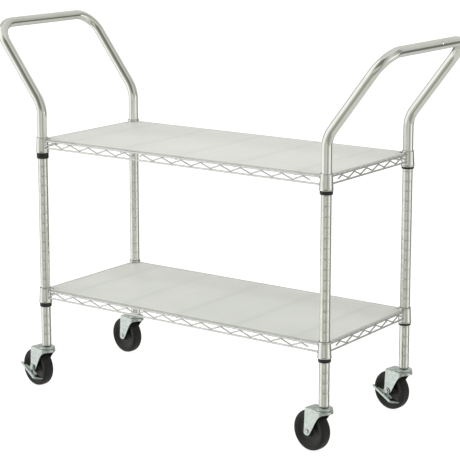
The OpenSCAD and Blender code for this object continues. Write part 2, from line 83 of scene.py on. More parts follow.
class Shape:
    """Collects vertices and faces for one piece."""

    def __init__(self):
        self.verts, self.faces = [], []

    def add(self, verts, faces):
        base = len(self.verts)
        self.verts += [Vector(v) for v in verts]
        self.faces += [tuple(base + i for i in f) for f in faces]

    def piece(self, name, body, mat, replaced=(), sharp=32, merge=1e-6):
        """Makes the object; edges that turn by more than sharp degrees stay crisp."""
        mesh = bpy.data.meshes.new(name)
        mesh.from_pydata([tuple(v) for v in self.verts], [], self.faces)
        bm = bmesh.new()
        bm.from_mesh(mesh)
        bmesh.ops.remove_doubles(bm, verts=bm.verts, dist=merge)
        bmesh.ops.recalc_face_normals(bm, faces=bm.faces)
        bm.to_mesh(mesh)
        bm.free()
        mesh.shade_smooth()
        mesh.set_sharp_from_angle(angle=math.radians(sharp))
        mesh.materials.append(mat)
        obj = bpy.data.objects.new(name, mesh)
        bpy.context.scene.collection.objects.link(obj)
        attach(obj, body)
        if replaced:
            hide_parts(*replaced)
        return obj


def grid(rows, cols, round_rows=False, round_cols=False):
    """Faces between rows of vertices; either direction may close on itself."""
    faces = []
    for i in range(rows if round_rows else rows - 1):
        for k in range(cols if round_cols else cols - 1):
            j, m = (i + 1) % rows, (k + 1) % cols
            faces.append((i * cols + k, i * cols + m, j * cols + m, j * cols + k))
    return faces


def lids(rows, cols):
    """The first and the last row of vertices, each as one face."""
    last = (rows - 1) * cols
    return [tuple(reversed(range(cols))), tuple(range(last, last + cols))]


def fillet(points, radii, step):
    """A polyline with its inner corners rounded, in steps of an angle; works in 2-D and 3-D."""
    pts = [Vector(p).to_3d() for p in points]
    out = [pts[0]]
    for i in range(1, len(pts) - 1):
        r = radii[i] if isinstance(radii, (list, tuple)) else radii
        a, b, c = pts[i - 1], pts[i], pts[i + 1]
        u, w = (a - b).normalized(), (c - b).normalized()
        turn = math.pi - u.angle(w)
        if r <= 0 or turn < 1e-4:
            out.append(b)
            continue
        cut = r * math.tan(turn / 2)
        cut = min(cut, (a - b).length * 0.49, (c - b).length * 0.49)
        r = cut / math.tan(turn / 2)
        centre = b + (u + w).normalized() * (r / math.cos(turn / 2))
        start, axis = b + u * cut - centre, u.cross(w).normalized()
        n = max(2, math.ceil(turn / step))
        for k in range(n + 1):
            out.append(centre + Matrix.Rotation(-turn * k / n, 3, axis) @ start)
    out.append(pts[-1])
    return out


def mirrored(points, radii):
    """A rounded (radius, height) profile followed by its mirror image, as one closed outline."""
    half = [(p.x, p.y) for p in fillet(points, radii, math.radians(8))]
    return half + [(r, -h) for r, h in reversed(half)]


def dense(points, gap):
    """The same path with no stretch longer than gap."""
    out = [Vector(points[0])]
    for p in points[1:]:
        p = Vector(p)
        n = max(1, math.ceil((p - out[-1]).length / gap))
        start = out[-1].copy()
        out += [start.lerp(p, k / n) for k in range(1, n + 1)]
    return out


def lathe(shape, profile, origin, axis=UP, segs=64, closed=False):
    """Turns a profile of (radius, height) pairs round an axis."""
    side = axis.orthogonal().normalized()
    other = axis.cross(side)
    origin = Vector(origin)
    verts = []
    for r, h in profile:
        for k in range(segs):
            a = 2 * math.pi * k / segs
            verts.append(origin + axis * h + (side * math.cos(a) + other * math.sin(a)) * r)
    faces = grid(len(profile), segs, round_rows=closed, round_cols=True)
    if not closed:
        faces += lids(len(profile), segs)
    shape.add(verts, faces)


def wire(shape, path, radius, segs):
    """A round wire or tube along a path, with flat ends."""
    pts = [Vector(p) for p in path]
    tangents = []
    for i in range(len(pts)):
        a, b = pts[max(0, i - 1)], pts[min(len(pts) - 1, i + 1)]
        tangents.append((b - a).normalized())
    side = tangents[0].orthogonal().normalized()
    verts = []
    for i, (p, t) in enumerate(zip(pts, tangents)):
        if i:
            side = tangents[i - 1].rotation_difference(t) @ side
        side = (side - t * side.dot(t)).normalized()
        other = t.cross(side)
        for k in range(segs):
            a = 2 * math.pi * k / segs
            verts.append(p + side * (math.cos(a) * radius) + other * (math.sin(a) * radius))
    shape.add(verts, grid(len(pts), segs, round_cols=True) + lids(len(pts), segs))


def blob(shape, centre, size, seed, rough=0.25, segs=10):
    """An uneven weld bead."""
    verts = []
    rows = segs // 2
    for i in range(rows + 1):
        th = math.pi * i / rows
        for k in range(segs):
            a = 2 * math.pi * k / segs
            d = Vector((math.sin(th) * math.cos(a), math.sin(th) * math.sin(a), math.cos(th)))
            r = 1 + rough * noise.noise(d * 1.7 + Vector((seed * 3.1, seed * 1.7, seed)))
            verts.append(Vector(centre) + Vector((d.x * size[0], d.y * size[1], d.z * size[2])) * r)
    shape.add(verts, grid(rows + 1, segs, round_cols=True))


# ---------------------------------------------------------------- materials

class Graph:
    """A node tree under construction, with helpers that add nodes to it."""

    def __init__(self, tree):
        self.tree = tree

    def feed(self, socket, value):
        """Links an output to the socket, or gives the socket a fixed value; a colour is three numbers."""
        if hasattr(value, "links"):
            self.tree.links.new(value, socket)
        elif socket.type == "RGBA":
            socket.default_value = (*value, 1)
        else:
            socket.default_value = value

    def node(self, kind, **inputs):
        """Adds a node; an underscore in an input's name stands for a space."""
        made = self.tree.nodes.new(kind)
        for key, value in inputs.items():
            self.feed(made.inputs[key.replace("_", " ")], value)
        return made

    def math(self, op, *values):
        made = self.tree.nodes.new("ShaderNodeMath")
        made.operation = op
        for socket, value in zip(made.inputs, values):
            self.feed(socket, value)
        return made.outputs[0]

    def mix(self, fac, a, b):
        made = self.tree.nodes.new("ShaderNodeMix")
        made.data_type = "RGBA"
        for i, value in ((0, fac), (6, a), (7, b)):
            self.feed(made.inputs[i], value)
        return made.outputs[2]

    def ramp(self, fac, stops, easing="LINEAR"):
        made = self.node("ShaderNodeValToRGB", Fac=fac)
        made.color_ramp.interpolation = easing
        elements = made.color_ramp.elements
        while len(elements) < len(stops):
            elements.new(0.5)
        for element, (pos, colour) in zip(elements, stops):
            element.position = pos
            element.color = (*colour, 1)
        return made.outputs["Color"]

    def step(self, fac, start, end, before, after, easing="LINEAR"):
        """One value up to start, the other from end on."""
        return self.ramp(fac, [(start, (before,) * 3), (end, (after,) * 3)], easing)


class Surface(Graph):
    """A material under construction: one principled shader and what feeds it."""

    def __init__(self, name):
        self.mat = bpy.data.materials.new(name)
        self.mat.use_nodes = True
        super().__init__(self.mat.node_tree)
        self.shader = self.tree.nodes["Principled BSDF"]
        self.here = self.node("ShaderNodeTexCoord").outputs["Object"]

    def set(self, **values):
        for key, value in values.items():
            self.feed(self.shader.inputs[key.replace("_", " ")], value)

    def scaled(self, x, y, z):
        return self.node("ShaderNodeMapping", Vector=self.here, Scale=(x, y, z)).outputs["Vector"]

    def noise(self, scale, detail, rough, vector=None):
        made = self.node("ShaderNodeTexNoise", Vector=vector or self.here, Scale=scale, Detail=detail,
                         Roughness=rough)
        return made.outputs["Fac"]

    def spread(self, fac, low, high, lo_in=0.3, hi_in=0.7):
        """Maps the range lo_in to hi_in onto low to high."""
        made = self.node("ShaderNodeMapRange", Value=fac, From_Min=lo_in, From_Max=hi_in, To_Min=low,
                         To_Max=high)
        return made.outputs["Result"]

    def ridges(self, place, pitch, sharpness):
        """1 at the middle and at every pitch from it, and next to nothing between."""
        wave = self.math("COSINE", self.math("MULTIPLY", place, 2 * math.pi / pitch))
        return self.math("POWER", self.spread(wave, 0, 1, -1, 1), sharpness)

    def distance(self, point):
        made = self.tree.nodes.new("ShaderNodeVectorMath")
        made.operation = "DISTANCE"
        self.feed(made.inputs[0], self.here)
        self.feed(made.inputs[1], point)
        return made.outputs["Value"]

    def bump(self, height, strength, distance, under=None):
        """A bump, laid over another one where one is given."""
        made = self.node("ShaderNodeBump", Height=height, Strength=strength, Distance=distance)
        if under is not None:
            self.feed(made.inputs["Normal"], under)
        return made.outputs["Normal"]


# a painted vent hole in the bar of the right handle: a bright painted glint ringed by painted shade
bar_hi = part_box("handle_right")[1]
HOLE_R = 0.0042
HOLE_AT = (bar_hi.x - 0.0006, 0.050, bar_hi.z - TUBE_R + 0.004)
HOLE_RIM_SHADE, HOLE_GLINT = (0.10, 0.10, 0.09), (0.95, 0.95, 0.93)


def plated(name, light, dark, rough_lo, rough_hi, grain=(1, 1, 1), grain_scale=900, bump=0.05, blotch=30,
           pits=0.0, hole=None):
    """Bright plating: blotchy tone, drawn grain, small pits and roughness that varies; where a hole is given,
    a painted glint ringed by painted shade.
    """
    m = Surface(name)
    cloud = m.noise(blotch, 5, 0.6)
    fine = m.noise(grain_scale, 3, 0.6, m.scaled(*grain))
    tone = m.mix(m.spread(cloud, 0, 1, 0.35, 0.65), dark, light)
    specks = m.step(m.noise(blotch * 14, 2, 0.5), 0.30, 0.36, 1, 0)
    tone = m.mix(m.math("MULTIPLY", specks, pits), tone, [c * 0.45 for c in dark])
    rough = m.math("ADD", m.spread(cloud, rough_lo, rough_hi), m.spread(fine, -0.02, 0.03))
    metallic = 1.0
    if hole:
        # painted vent hole: a ring of painted shade, then a non-metal painted glint in its middle
        away = m.math("DIVIDE", m.distance(hole), 2 * HOLE_R)
        tone = m.mix(m.step(away, 0.62, 0.70, 1, 0), tone, HOLE_RIM_SHADE)
        painted_glint = m.step(away, 0.42, 0.50, 1, 0)
        tone = m.mix(painted_glint, tone, HOLE_GLINT)
        metallic = m.math("SUBTRACT", 1.0, painted_glint)
    m.set(Base_Color=tone, Roughness=rough, Metallic=metallic,
          Normal=m.bump(fine, bump, 0.0002, m.bump(cloud, bump * 0.6, 0.0006)))
    return m.mat


CHROME = plated("chrome_bright", (0.86, 0.865, 0.83), (0.80, 0.80, 0.75), 0.05, 0.09, bump=0.02, blotch=18,
                hole=HOLE_AT)
POST = plated("chrome_post", (0.82, 0.825, 0.785), (0.72, 0.725, 0.675), 0.10, 0.17, (1, 1, 0.18), 700,
              bump=0.06, blotch=60, pits=0.35)
COLLAR = plated("chrome_collar", (0.84, 0.84, 0.81), (0.74, 0.745, 0.71), 0.12, 0.22, bump=0.08, blotch=70,
                pits=0.3)
WIRE = plated("chrome_wire", (0.77, 0.775, 0.765), (0.60, 0.60, 0.59), 0.14, 0.26, bump=0.10, blotch=90,
              pits=0.35)
WELD = plated("weld_bead", (0.70, 0.70, 0.68), (0.50, 0.50, 0.48), 0.26, 0.42, bump=0.30, blotch=260,
              pits=0.5)
ZINC = plated("zinc_plate", (0.66, 0.715, 0.69), (0.49, 0.55, 0.53), 0.18, 0.30, bump=0.14, blotch=120,
              pits=0.3)
STEEL = plated("turned_steel", (0.72, 0.74, 0.73), (0.52, 0.54, 0.54), 0.22, 0.34, bump=0.12, blotch=150,
               pits=0.3)

DUST = (0.2, 0.19, 0.17)


def moulded(name, light, dark, rough, grain_scale, bump, dust=0.0):
    """Moulded plastic or rubber with a fine grain and a little dust."""
    m = Surface(name)
    cloud = m.noise(45, 5, 0.6)
    fine = m.noise(grain_scale, 3, 0.6)
    tone = m.mix(m.spread(cloud, 0, 1, 0.35, 0.65), dark, light)
    film = m.math("MULTIPLY", m.spread(m.noise(16, 6, 0.7), 0, 1, 0.5, 0.75), dust)
    sheen = m.math("ADD", m.spread(cloud, rough - 0.05, rough + 0.05), m.spread(fine, -0.03, 0.03))
    m.set(Base_Color=m.mix(film, tone, DUST), Roughness=sheen, Specular_IOR_Level=0.32,
          Normal=m.bump(fine, bump, 0.0002))
    return m.mat


SLEEVE = moulded("black_plastic", (0.016, 0.016, 0.016), (0.010, 0.010, 0.010), 0.40, 1500, 0.15)
RUBBER = moulded("wheel_rubber", (0.009, 0.009, 0.008), (0.006, 0.006, 0.0055), 0.50, 1100, 0.22, 0.03)
CORE = moulded("wheel_core", (0.008, 0.008, 0.0075), (0.006, 0.006, 0.0055), 0.38, 900, 0.12, 0.03)

RIM_SHADE_IN, RIM_SHADE_HALF = 0.002, 0.0060


def frosted(name):
    """Frosted sheet: soft bands of painted shade where the wires below it would show through, painted shade
    along the rim wires, fine grain and scuffs.
    """
    m = Surface(name)
    split = m.node("ShaderNodeSeparateXYZ", Vector=m.here)
    x, y = split.outputs[0], split.outputs[1]
    # painted shade: ridges over the cross supports and, fainter, over the deck wires below the sheet
    painted_support_shade = m.ridges(x, 2 * POST_X / CROSS_SUPPORTS, 26.0)
    along = m.ridges(y, 2 * POST_Y / (DECK_WIRES + 1), 5.0)
    cloud = m.noise(7, 5, 0.55)
    fine = m.noise(1400, 2, 0.5)
    base = m.mix(m.spread(cloud, 0, 1), (0.705, 0.722, 0.685), (0.742, 0.755, 0.722))
    # the sheet is darkened there with painted shade of the wires beneath
    base = m.mix(m.math("MULTIPLY", painted_support_shade, 0.35), base, (0.60, 0.62, 0.58))
    base = m.mix(m.math("MULTIPLY", along, 0.12), base, (0.62, 0.64, 0.60))
    # painted shade in a band just within the rim wires
    for place, rim in ((x, POST_X + RIM_OUT), (y, POST_Y + RIM_OUT)):
        off = m.math("SUBTRACT", m.math("ABSOLUTE", place), rim - RIM_SHADE_IN)
        off = m.math("DIVIDE", m.math("ABSOLUTE", off), RIM_SHADE_HALF)
        base = m.mix(m.math("MULTIPLY", m.step(off, 0.55, 1.0, 1, 0), 0.60), base, (0.34, 0.35, 0.32))
    scuffs = m.noise(30, 6, 0.7, m.scaled(1, 0.15, 1))
    m.set(Base_Color=base, Roughness=m.math("ADD", m.spread(scuffs, 0.30, 0.40), m.spread(fine, -0.03, 0.03)),
          IOR=1.47, Normal=m.bump(fine, 0.06, 0.0002, m.bump(cloud, 0.03, 0.002)),
          Subsurface_Weight=0.15, Subsurface_Radius=(0.004, 0.004, 0.0036), Subsurface_Scale=1.0)
    return m.mat


LINER = frosted("frosted_liner")

BY_SLOT = {
    "post_chrome": POST, "handle_chrome": CHROME, "collar_chrome": COLLAR, "wire_chrome": WIRE,
    "zinc_steel": ZINC, "plain_steel": STEEL, "black_plastic": SLEEVE, "liner_plastic": LINER,
    "wheel_rubber": RUBBER, "wheel_core_plastic": CORE,
}
for part in frame["record"]["subparts"]:
    mesh = frame["nodes"][part["node"]].data
    mesh.materials[0] = BY_SLOT[part["material_slot"]]


# ---------------------------------------------------------------- handles

KNEE_RISE, KNEE_R, CORNER_R = 0.0845, 0.075, 0.060


def handle(name, side):
    """One tube that rises from both posts of an end, leans out at the knees and crosses over."""
    lo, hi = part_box(name)
    bar_x = (hi.x if side > 0 else lo.x) - side * TUBE_R
    post_x = side * POST_X
    knee_z = SHELF_TOP["upper"] + KNEE_RISE
    front = [(post_x, lo.z, 0), (post_x, knee_z, KNEE_R), (bar_x, hi.z - TUBE_R, CORNER_R)]
    corners = [(x, -POST_Y, z) for x, z, r in front] + [(x, POST_Y, z) for x, z, r in reversed(front)]
    radii = [r for x, z, r in front + front[::-1]]
    shape = Shape()
    wire(shape, dense(fillet(corners, radii, math.radians(2.5)), 0.02), TUBE_R, 64)
    shape.piece(name + "_tube", "frame", CHROME, [name])


handle("handle_left", -1)
handle("handle_right", 1)

# ---------------------------------------------------------------- posts

GROOVE_PITCH, GROOVE_DROP, GROOVE_CLEAR = 0.0254, 0.026, 0.006
GROOVE_DEPTH, GROOVE_HALF = 0.00028, 0.0008
# (height in half widths, share of the depth)
GROOVE_SHAPE = ((-2.2, 0), (-1.5, 0.15), (-0.8, 0.8), (0, 1), (0.8, 0.8), (1.5, 0.15), (2.2, 0))
TUBE_EDGE = 0.0003


def post(corner):
    """A tube with a shallow groove at every pitch, counted from the lower shelf."""
    node = "post_" + corner
    lo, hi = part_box(node)
    outline = [(TUBE_R - TUBE_EDGE, lo.z), (TUBE_R, lo.z + TUBE_EDGE)]
    start = SHELF_TOP["lower"] - GROOVE_DROP
    first = math.ceil((lo.z + GROOVE_CLEAR - start) / GROOVE_PITCH)
    last = math.floor((hi.z - GROOVE_CLEAR - start) / GROOVE_PITCH)
    for k in range(first, last + 1):
        for rise, depth in GROOVE_SHAPE:
            outline.append((TUBE_R - GROOVE_DEPTH * depth, start + k * GROOVE_PITCH + GROOVE_HALF * rise))
    outline += [(TUBE_R, hi.z - TUBE_EDGE), (TUBE_R - TUBE_EDGE, hi.z)]
    outline += [(TUBE_R - TUBE_WALL, hi.z), (TUBE_R - TUBE_WALL, lo.z)]
    shape = Shape()
    lathe(shape, outline, ((lo.x + hi.x) / 2, (lo.y + hi.y) / 2, 0), segs=96, closed=True)
    shape.piece(node + "_tube", "frame", POST, [node])


for corner in CORNERS:
    post(corner)

# ---------------------------------------------------------------- collars and welds

COLLAR_WALL, COLLAR_LIP = 0.0012, 0.00045


def collar_r(drop):
    """Outer radius of the tapered collar at a drop below its top."""
    return COLLAR_TOP_R + (COLLAR_LOW_R - COLLAR_TOP_R) * drop / COLLAR_H


def collars(shelf):
    """The tapered collars of a shelf, each with a lip at its foot and at its top."""
    foot_r, top_r = collar_r(COLLAR_H), collar_r(0)
    outline = [(foot_r - COLLAR_WALL, -COLLAR_H), (foot_r - 0.0003, -COLLAR_H), (foot_r, 0.0006 - COLLAR_H),
               (foot_r - 0.0001, 0.0016 - COLLAR_H), (collar_r(0.037) - COLLAR_LIP * 0.7, 0.0026 - COLLAR_H)]
    outline += [(collar_r(drop) - COLLAR_LIP, -drop) for drop in (0.035, 0.028, 0.020, 0.012, 0.006)]
    outline += [(collar_r(0.003) - COLLAR_LIP * 0.7, -0.003), (collar_r(0.002), -0.0018),
                (collar_r(0.001), -0.0009), (top_r - 0.0002, -0.0002), (top_r - 0.0006, 0),
                (top_r - COLLAR_WALL, 0)]
    shape = Shape()
    for sx, sy in CORNERS.values():
        lathe(shape, outline, (sx * POST_X, sy * POST_Y, SHELF_TOP[shelf]), segs=72, closed=True)
    shape.piece(shelf + "_shelf_corner_collars", "frame", COLLAR,
                [shelf + "_shelf_collars"], sharp=50)


# half sizes of the beads along x, y and z
CORNER_BEAD = (0.0042, 0.0031, 0.0034)
ZIG_BEAD = (0.0030, 0.0021, 0.0013)
WIRE_BEAD = (0.0019, 0.0021, 0.0017)
BEAD_SHIFT = 0.0004


def crosswise(size):
    """The size of the same bead turned a quarter."""
    return (size[1], size[0], size[2])


def zigzag_peaks(span, pitch):
    """How far from a collar's axis each top bend of a zigzag stands."""
    last = math.floor((span - ZIG_LEAD - ZIG_TAIL) / pitch + 1e-9)
    return [ZIG_LEAD + k * pitch for k in range(last + 1)]


def welds(shelf):
    """Beads where rim wires meet collars, zigzags meet rims and deck wires end."""
    top, seed = SHELF_TOP[shelf], 1.0
    edge_x, edge_y = POST_X + RIM_OUT, POST_Y + RIM_OUT
    shape = Shape()
    for sx, sy in CORNERS.values():
        for drop in (RIM_TOP_DROP, RIM_LOW_DROP):
            reach = math.sqrt(collar_r(drop) ** 2 - RIM_OUT ** 2) + BEAD_SHIFT
            for dx, dy, size in ((reach, -RIM_OUT, CORNER_BEAD), (-RIM_OUT, reach, crosswise(CORNER_BEAD))):
                seed += 1.7
                blob(shape, (sx * (POST_X - dx), sy * (POST_Y - dy), top - drop), size, seed, 0.3, 12)
    top_z = top - RIM_TOP_DROP - RIM_TOP_R - BEAD_SHIFT
    low_z = top - RIM_LOW_DROP + RIM_LOW_R + BEAD_SHIFT
    for half, pitch, size, point in (
            (POST_X, FRONT_PITCH, ZIG_BEAD, lambda u, s, z: (u * s, edge_y * s, z)),
            (POST_Y, SIDE_PITCH, crosswise(ZIG_BEAD), lambda u, s, z: (edge_x * s, u * s, z))):
        peaks = zigzag_peaks(2 * half, pitch)
        for s in (-1, 1):
            for u in peaks:
                seed += 1.3
                blob(shape, point(half - u, s, top_z), size, seed)
                if u != peaks[-1]:
                    blob(shape, point(half - u - pitch / 2, s, low_z), size, seed + 0.5)
    end_x, end_z = edge_x - RIM_TOP_R - BEAD_SHIFT, top - RIM_TOP_DROP + 0.0009
    for k in range(1, DECK_WIRES + 1):
        for s in (-1, 1):
            seed += 0.9
            blob(shape, (s * end_x, POST_Y * (2 * k / (DECK_WIRES + 1) - 1), end_z), WIRE_BEAD, seed)
    shape.piece(shelf + "_shelf_welds", "frame", WELD, sharp=60)


for shelf in SHELF_TOP:
    collars(shelf)
    welds(shelf)

# ---------------------------------------------------------------- liners

NOTCH, LINER_SOFT = 0.019, 0.0004
NOTCH_RADII = [0.002, 0.003, 0.002]


def liner(shelf):
    """A flat sheet with a square notch at each post and softened edges."""
    node = shelf + "_shelf_liner"
    lo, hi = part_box(node)
    cut_x, cut_y = POST_X - NOTCH, POST_Y - NOTCH
    outline = []
    for sx, sy in ((-1, -1), (1, -1), (1, 1), (-1, 1)):
        notch = [(sx * hi.x, sy * cut_y), (sx * cut_x, sy * cut_y), (sx * cut_x, sy * hi.y)]
        outline += notch if sx * sy > 0 else notch[::-1]
    start = ((outline[-1][0] + outline[0][0]) / 2, (outline[-1][1] + outline[0][1]) / 2)
    outline = fillet([start] + outline + [start], [0] + NOTCH_RADII * 4 + [0], math.radians(18))[:-1]
    rows = ((lo.z, LINER_SOFT), (lo.z + LINER_SOFT, 0), (hi.z - LINER_SOFT, 0), (hi.z, LINER_SOFT))
    verts = []
    for z, inset in rows:
        verts += [(p.x - math.copysign(inset, p.x), p.y - math.copysign(inset, p.y), z) for p in outline]
    shape = Shape()
    shape.add(verts, grid(len(rows), len(outline), round_cols=True) + lids(len(rows), len(outline)))
    shape.piece(shelf + "_liner_sheet", shelf + "_liner", LINER, [node], sharp=50)


for shelf in SHELF_TOP:
    liner(shelf)

# ---------------------------------------------------------------- casters
# Each caster has its own directions, from the centre of its wheel: x along its trail, so that the swivel
# stands at a negative x, y along the axle and z up.

TRAIL = Vector((math.cos(math.radians(170)), math.sin(math.radians(170)), 0))
AXLE = Vector((-TRAIL.y, TRAIL.x, 0))

SWIVEL_X = -0.038
FORK_OUT, SHEET, SHEET_EDGE = 0.020, 0.0026, 0.0006
FORK_BACK, BOSS_R, BOSS_X, CREASE_X = 0.0095, 0.0105, -0.0075, -0.0150
CROWN_R, CROWN_TOP, CROWN_FILLET = 0.0228, 0.0592, 0.0030
LEG_TAPER = 0.0030
# lower edge of a leg, from the boss round the axle up to the crown
LEG_EDGE = [(BOSS_X, -0.00735), (-0.0120, -0.0010), (-0.0160, 0.0057), (-0.0223, 0.0168), (-0.0285, 0.0275),
            (-0.0350, 0.0369), (-0.0410, 0.0440), (-0.0480, 0.0490), (-0.0540, 0.0510), (-0.0620, 0.0515)]


def local(corner):
    """The corner's caster directions, as a function that places a point."""
    lo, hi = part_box(corner + "_tyre")
    centre = (lo + hi) / 2
    return lambda x, y, z: centre + TRAIL * x + AXLE * y + UP * z


def fork_low(x):
    """Height of the leg's lower edge at x."""
    if x > BOSS_X:
        return -math.sqrt(max(0.0, BOSS_R ** 2 - x ** 2))
    for (xa, za), (xb, zb) in zip(LEG_EDGE, LEG_EDGE[1:]):
        if x >= xb:
            return za + (zb - za) * (xa - x) / (xa - xb)
    return LEG_EDGE[-1][1]


def fork_plan():
    """Plan of the folded sheet's outer face, from the end of one leg round the crown to the other."""
    leg = [FORK_BACK - 0.0003, FORK_BACK - 0.0012, 0.006, 0.003, 0.0, -0.003, -0.006, BOSS_X, -0.010,
           -0.0125, CREASE_X]
    half = [Vector((x, FORK_OUT, 0)) for x in leg]
    crown = Vector((SWIVEL_X, CROWN_R, 0))
    half += [half[-1].lerp(crown, k / 6) for k in range(1, 6)]
    for k in range(13):
        a = math.radians(90 + 90 * k / 12)
        half.append(Vector((SWIVEL_X + CROWN_R * math.cos(a), CROWN_R * math.sin(a), 0)))
    return half + [Vector((p.x, -p.y, 0)) for p in reversed(half[:-1])]


def fork(corner):
    """One folded sheet: two legs that lean a little, and a crown with a rounded edge."""
    place = local(corner)
    plan = fork_plan()
    swivel = Vector((SWIVEL_X, 0, 0))
    top = CROWN_TOP - CROWN_FILLET
    leg_rows, bend_rows = 9, 4
    verts = []
    for p in plan:
        low = fork_low(p.x)
        on_leg = p.x > SWIVEL_X
        inward = (Vector((0, -p.y, 0)) if on_leg else swivel - p).normalized()
        lean = Vector((-LEG_TAPER * max(0.0, p.x) / FORK_BACK, 0, 0))
        column = [(p + lean * k / leg_rows, low + (top - low) * k / leg_rows) for k in range(leg_rows + 1)]
        shoulder = p + lean
        for k in range(1, bend_rows + 1):
            a = math.pi / 2 * k / bend_rows
            inset = inward * CROWN_FILLET * (1 - math.cos(a))
            column.append((shoulder + inset, top + CROWN_FILLET * math.sin(a)))
        edge = shoulder + inward * CROWN_FILLET
        middle = Vector((shoulder.x, 0, 0)) if on_leg else swivel
        column += [(edge.lerp(middle, share), CROWN_TOP) for share in (0.35, 0.7, 0.999)]
        verts += [place(q.x, q.y, z) for q, z in column]
    shape = Shape()
    shape.add(verts, grid(len(plan), len(column)))
    obj = shape.piece(corner + "_fork_sheet", corner + "_swivel", ZINC,
                      [corner + "_caster_fork"], sharp=28, merge=2e-5)
    mod = obj.modifiers.new("thickness", "SOLIDIFY")
    mod.thickness = SHEET
    mod.offset = -1
    mod = obj.modifiers.new("edges", "BEVEL")
    mod.width = SHEET_EDGE
    mod.segments = 2
    mod.limit_method = "ANGLE"
    mod.angle_limit = math.radians(40)


STEM_DROP, RACE_H, STEM_CORE = 0.002, 0.0078, 0.0001


def stem(corner):
    """Upper race, riveted kingpin and stem, turned as one."""
    node = corner + "_caster_stem"
    lo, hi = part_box(node)
    foot = POST_FOOT - STEM_DROP
    under = foot - RACE_H
    r = (hi.x - lo.x) / 2
    corners = [(STEM_CORE, lo.z), (0.0075, lo.z), (0.0093, lo.z + 0.0032), (0.0058, lo.z + 0.0035),
               (0.0058, under), (r - 0.0004, under - 0.0004), (r, under + 0.0012),
               (r - 0.0001, under + 0.0028), (r - 0.0022, under + 0.0042), (TUBE_R + 0.0014, foot - 0.0020),
               (TUBE_R - 0.0010, foot - 0.0016), (0.006, foot), (0.006, hi.z), (STEM_CORE, hi.z)]
    radii = [0, 0.001, 0.0006, 0.0003, 0.0003, 0.0010, 0.0014, 0.0014, 0.0016, 0.0012, 0.0008, 0.0003,
             0.0008, 0]
    profile = [(p.x, p.y) for p in fillet(corners, radii, math.radians(20))]
    shape = Shape()
    lathe(shape, profile, ((lo.x + hi.x) / 2, (lo.y + hi.y) / 2, 0), segs=72)
    shape.piece(corner + "_swivel_stem", "frame", ZINC, [node], sharp=40)


TYRE_HALF, TYRE_DEPTH = 0.015, 0.013
HUB_R, BORE_R = 0.0130, 0.00605


def wheel(corner):
    """A rounded tyre on a dished disc with a hub."""
    centre = local(corner)(0, 0, 0)
    lo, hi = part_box(corner + "_tyre")
    r, w = (hi.z - lo.z) / 2, TYRE_HALF
    seam = r - TYRE_DEPTH
    side = [(seam, w - 0.0011), (seam + 0.0006, w - 0.0007), (seam + 0.0025, w - 0.0002), (r - 0.0075, w),
            (r - 0.0050, w - 0.0008), (r - 0.0028, w - 0.0024), (r - 0.0012, w - 0.0048),
            (r - 0.0004, w - 0.0074), (r - 0.00008, w - 0.0105), (r, 0.0004)]
    shape = Shape()
    lathe(shape, mirrored(side, 0.004), centre, AXLE, segs=96, closed=True)
    shape.piece(corner + "_tyre_ring", corner + "_wheel", RUBBER,
                [corner + "_tyre"], sharp=60)

    dish = [(seam - 0.0001, w - 0.0013), (seam - 0.0022, w - 0.0014), (seam - 0.0070, w - 0.0036),
            (seam - 0.0125, w - 0.0056), (HUB_R + 0.0055, w - 0.0062), (HUB_R + 0.0006, w - 0.0040),
            (HUB_R, w + 0.0010), (HUB_R - 0.0016, w + 0.0018), (BORE_R + 0.0008, w + 0.0018),
            (BORE_R, w + 0.0012)]
    radii = [0, 0.003, 0.010, 0.010, 0.006, 0.004, 0.0016, 0.0012, 0.0006, 0]
    shape = Shape()
    lathe(shape, mirrored(dish, radii), centre, AXLE, segs=96, closed=True)
    shape.piece(corner + "_wheel_disc", corner + "_wheel", CORE,
                [corner + "_wheel_core"], sharp=60)


BRAKE_TILT = math.radians(20)
PLATE_TAIL, PLATE_WIDE, PLATE_TOE, PLATE_Z = 0.046, -0.027, -0.046, -0.007
PLATE_GAP, WEB_OUT = 0.0003, 0.002
LIP_DROP, LIP_RUN, FOLD = 0.0042, 0.012, 0.0016
EAR_R = 0.0095


